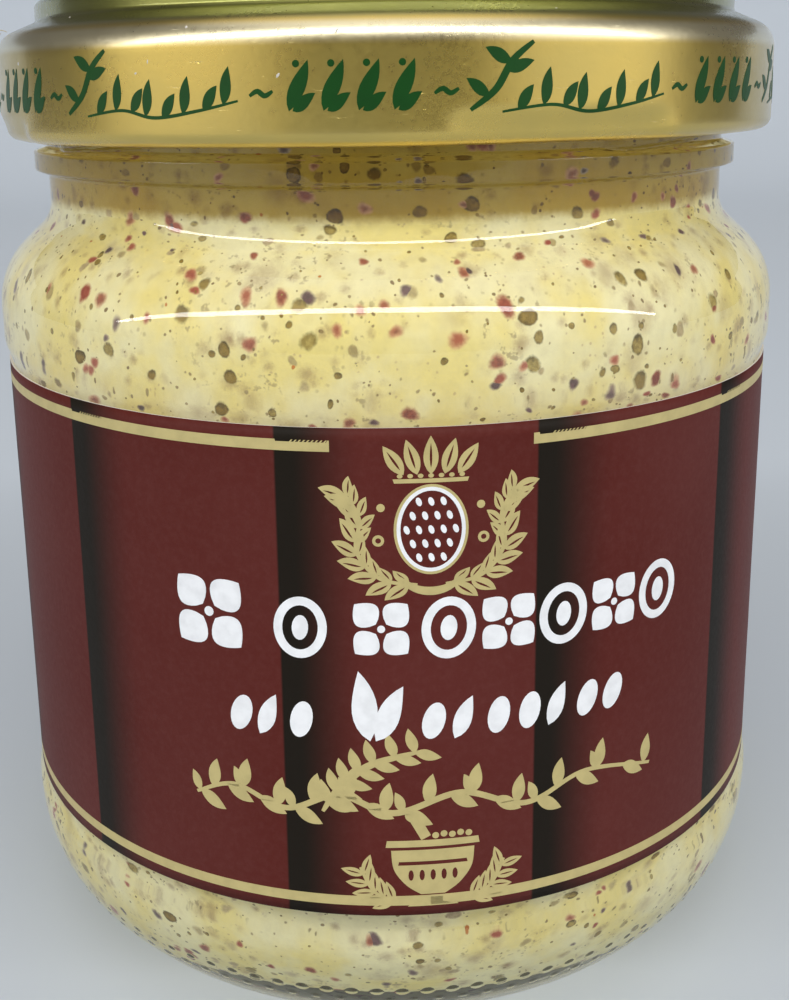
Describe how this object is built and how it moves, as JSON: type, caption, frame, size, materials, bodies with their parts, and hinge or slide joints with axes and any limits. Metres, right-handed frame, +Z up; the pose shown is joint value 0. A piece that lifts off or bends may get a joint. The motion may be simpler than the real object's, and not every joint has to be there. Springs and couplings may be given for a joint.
{
  "type": "mustard jar",
  "caption": "Squat round clear glass jar of whole-grain mustard with a paper wrap label on its recessed body and a stepped twist-off metal lid",
  "frame": {"origin": "centre of the base, on the plane the jar stands on", "axes": "+Z up along the jar's axis, -Y towards the front of the label, +X to the right when looking at the front"},
  "size_m": [0.0694, 0.0694, 0.082],
  "materials": {
    "clear_glass": "clear soda-lime glass, fire-polished",
    "mustard_paste": "moist paste with crushed seed, creamy yellow",
    "gold_tinplate": "satin gold lacquer on tinplate",
    "label_paper": "satin coated paper, maroon print"
  },
  "bodies": {
    "root": {"jar": "clear_glass", "mustard": "mustard_paste", "lid": "gold_tinplate", "label": "label_paper"}
  },
  "joints": []
}
